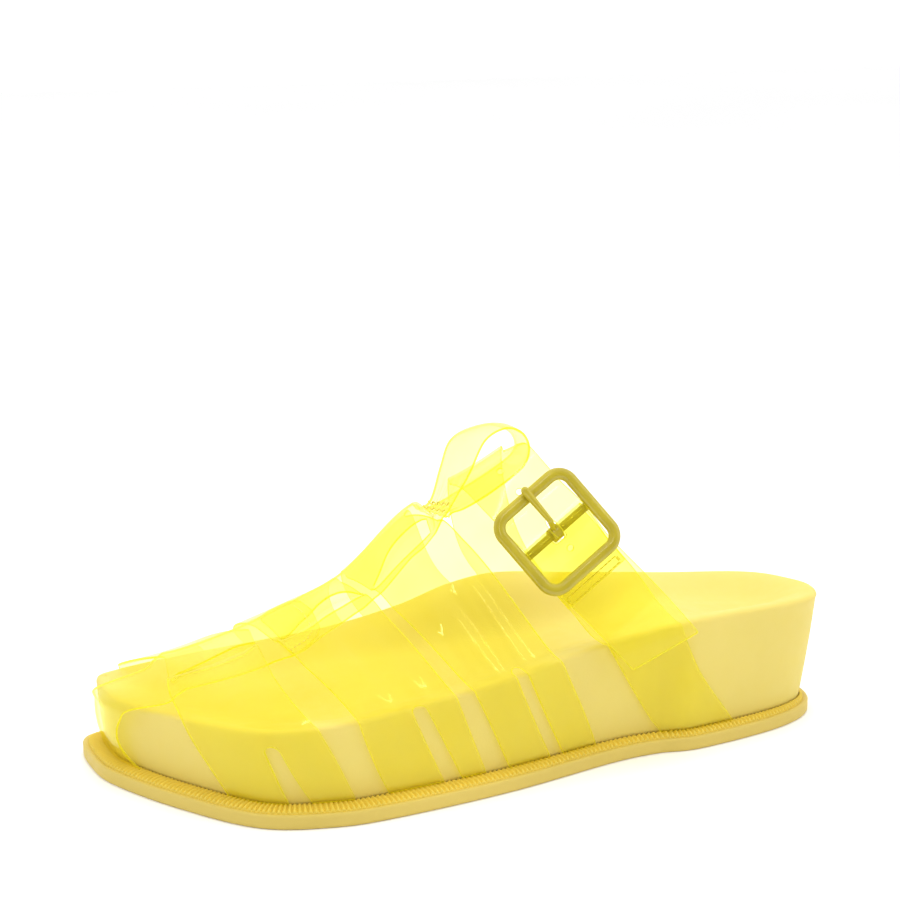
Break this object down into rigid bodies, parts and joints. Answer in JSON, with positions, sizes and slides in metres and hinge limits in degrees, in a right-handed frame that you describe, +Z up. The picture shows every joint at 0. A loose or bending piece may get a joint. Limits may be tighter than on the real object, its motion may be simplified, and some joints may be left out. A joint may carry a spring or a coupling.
{
  "type": "platform clog with a buckled strap upper",
  "caption": "Left platform mule clog: a thick footbed on a rubber outsole, an upper of clear flexible straps woven over the foot, and a square prong buckle.",
  "frame": {"origin": "middle of the outsole's underside, at the centre of the whole shoe's bounding box", "axes": "+X to the inner (medial) side of a left shoe, +Y to the toe, +Z up"},
  "size_m": [0.1078, 0.2533, 0.111],
  "materials": {
    "outsole_rubber": "matte moulded",
    "footbed_foam": "matte moulded foam",
    "filler": "matte",
    "clear_pvc": "glossy clear",
    "buckle_enamel": "gloss enamel",
    "thread": "twisted thread"
  },
  "bodies": {
    "root": {"outsole": "outsole_rubber", "ribbed_welt": "outsole_rubber", "filler_board": "filler", "footbed": "footbed_foam", "toe_strap": "clear_pvc", "vamp_strap": "clear_pvc", "front_band": "clear_pvc", "middle_band": "clear_pvc", "rear_band": "clear_pvc", "anchor_strap": "clear_pvc", "buckle_strap": "clear_pvc", "loop_stitching": "thread", "anchor_stitching": "thread", "toe_stitching": "thread"},
    "buckle": {"buckle_frame": "buckle_enamel", "buckle_bar": "buckle_enamel"},
    "prong": {"buckle_prong": "buckle_enamel"}
  },
  "joints": [
    {"name": "buckle_tilt", "type": "hinge", "parent": "root", "child": "buckle", "pos_m": [-0.0233, -0.0179, 0.0774], "axis": [0.0465, -0.8258, 0.5621], "range_deg": [-3, 3]},
    {"name": "prong_hinge", "type": "hinge", "parent": "buckle", "child": "prong", "pos_m": [-0.0233, -0.0179, 0.0774], "axis": [0.0465, -0.8258, 0.5621], "range_deg": [0, 60]}
  ]
}
